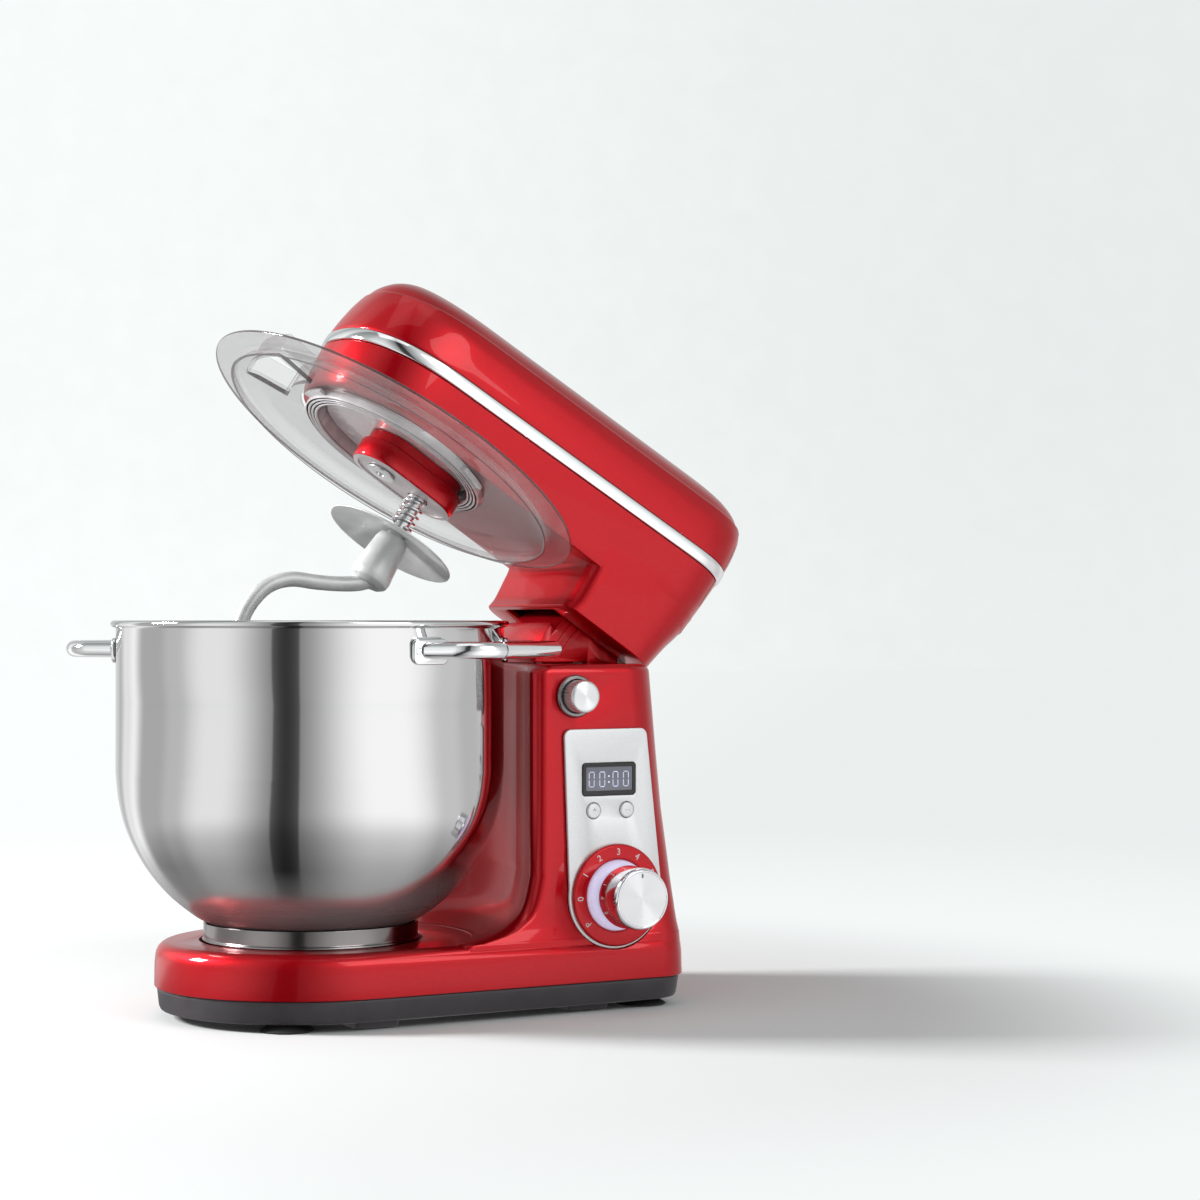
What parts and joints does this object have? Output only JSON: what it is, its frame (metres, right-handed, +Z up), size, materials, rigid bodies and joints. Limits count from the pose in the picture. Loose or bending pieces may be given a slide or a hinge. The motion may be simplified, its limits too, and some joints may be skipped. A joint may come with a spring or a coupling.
{
  "type": "stand mixer",
  "caption": "Tilt-head stand mixer resting with its head raised: red housings, handled steel bowl, clear splash guard, planetary dough hook and side controls.",
  "frame": {"origin": "bottom centre of the bounding box at rest, on the floor under the column", "axes": "+Z up, -Y towards the bowl and nose, +X towards the side with the control panel"},
  "size_m": [0.2742, 0.3926, 0.4228],
  "materials": {
    "red": "metallic candy red paint under gloss lacquer",
    "dark": "satin charcoal plastic",
    "steel": "plain turned steel",
    "bowl_steel": "polished stainless steel",
    "chrome": "bright chrome",
    "silver": "satin silver paint",
    "aluminium": "spun aluminium face, polished edge",
    "light": "milky translucent plastic",
    "display": "smoked display window",
    "board": "circuit board",
    "rubber": "matt black rubber",
    "grey": "grey moulded plastic",
    "brass": "plain bronze",
    "clear": "clear, slightly smoked plastic",
    "hook": "satin grey coated cast aluminium"
  },
  "bodies": {
    "stand": {"base_tray": "dark", "stand_housing": "red", "hinge_tower": "red", "hinge_pin": "steel", "bowl_seat": "dark", "foot_1": "rubber", "foot_2": "rubber", "foot_3": "rubber", "foot_4": "rubber", "tray_screw_1": "steel", "tray_screw_2": "steel", "tray_screw_3": "steel", "cord_gland": "rubber", "control_panel": "silver", "display_window": "display", "dial_ring": "red", "light_ring": "light", "speed_control": "dark", "control_board": "board", "release_bezel": "dark", "release_spring": "steel"},
    "bowl": {"bowl": "bowl_steel", "bowl_foot": "bowl_steel", "bowl_handle_right": "chrome", "bowl_handle_left": "chrome"},
    "knob": {"speed_knob": "aluminium", "knob_shaft": "steel"},
    "timer_up": {"timer_up_button": "silver"},
    "timer_down": {"timer_down_button": "silver"},
    "release": {"release_button": "silver"},
    "latch": {"latch_bolt": "steel"},
    "head": {"head_lower_housing": "red", "head_top_cover": "red", "trim_band": "chrome", "gearbox_ring": "grey", "ring_gear": "grey", "hub_bearing": "brass", "motor_can": "steel", "head_chassis": "grey", "drive_belt": "rubber"},
    "guard": {"splash_guard": "clear"},
    "carrier": {"hub_shaft": "steel", "carrier_disc": "grey", "carrier_arm": "red", "hub_screw": "steel", "driven_pulley": "grey"},
    "beater": {"beater_shaft": "steel", "planet_pinion": "brass", "shaft_spring": "steel"},
    "hook": {"dough_hook": "hook", "hook_disc": "hook"},
    "rotor": {"motor_shaft": "steel", "motor_pulley": "grey"}
  },
  "joints": [
    {"name": "head_tilt", "type": "hinge", "parent": "stand", "child": "head", "pos_m": [0, 0.10554, 0.19], "axis": [1, 0, 0], "range_deg": [0, 33.5]},
    {"name": "hub_spin", "type": "hinge", "parent": "head", "child": "carrier", "pos_m": [0, -0.02912, 0.31811], "axis": [0, 0.5519, 0.8339], "continuous": true},
    {"name": "hook_spin", "type": "hinge", "parent": "carrier", "child": "beater", "pos_m": [0, -0.00577, 0.30265], "axis": [0, 0.5519, 0.8339], "continuous": true},
    {"name": "hook_push", "type": "slide", "parent": "beater", "child": "hook", "axis": [0, 0.5519, 0.8339], "range_m": [0, 0.004], "stiffness_N_per_m": 1500, "springref_m": -0.004, "deforming": ["shaft_spring"]},
    {"name": "motor_spin", "type": "hinge", "parent": "head", "child": "rotor", "pos_m": [0, 0.10303, 0.27861], "axis": [0, 0.5519, 0.8339], "continuous": true},
    {"name": "guard_turn", "type": "hinge", "parent": "head", "child": "guard", "pos_m": [0, -0.02912, 0.31811], "axis": [0, 0.5519, 0.8339], "range_deg": [0, 30]},
    {"name": "speed_knob_turn", "type": "hinge", "parent": "stand", "child": "knob", "pos_m": [0.0823, 0.07654, 0.067], "axis": [1, 0, 0], "range_deg": [-182, 36]},
    {"name": "release_button_press", "type": "slide", "parent": "stand", "child": "release", "axis": [-1, 0, 0], "range_m": [0, 0.004], "stiffness_N_per_m": 800, "springref_m": -0.002, "deforming": ["release_spring"]},
    {"name": "latch_slide", "type": "slide", "parent": "stand", "child": "latch", "axis": [0, -1, 0], "range_m": [0, 0.003]},
    {"name": "timer_up_press", "type": "slide", "parent": "stand", "child": "timer_up", "axis": [-1, 0, 0], "range_m": [0, 0.001], "stiffness_N_per_m": 1500, "springref_m": -0.0005},
    {"name": "timer_down_press", "type": "slide", "parent": "stand", "child": "timer_down", "axis": [-1, 0, 0], "range_m": [0, 0.001], "stiffness_N_per_m": 1500, "springref_m": -0.0005},
    {"name": "bowl_twist", "type": "hinge", "parent": "stand", "child": "bowl", "pos_m": [0, -0.07746, 0.1], "axis": [0, 0, 1], "range_deg": [-32, 0]}
  ],
  "couplings": [
    {"joint": "hook_spin", "follows": "hub_spin", "ratio": -3.5},
    {"joint": "motor_spin", "follows": "hub_spin", "ratio": 2.9767},
    {"joint": "latch_slide", "follows": "release_button_press", "ratio": 0.75}
  ]
}
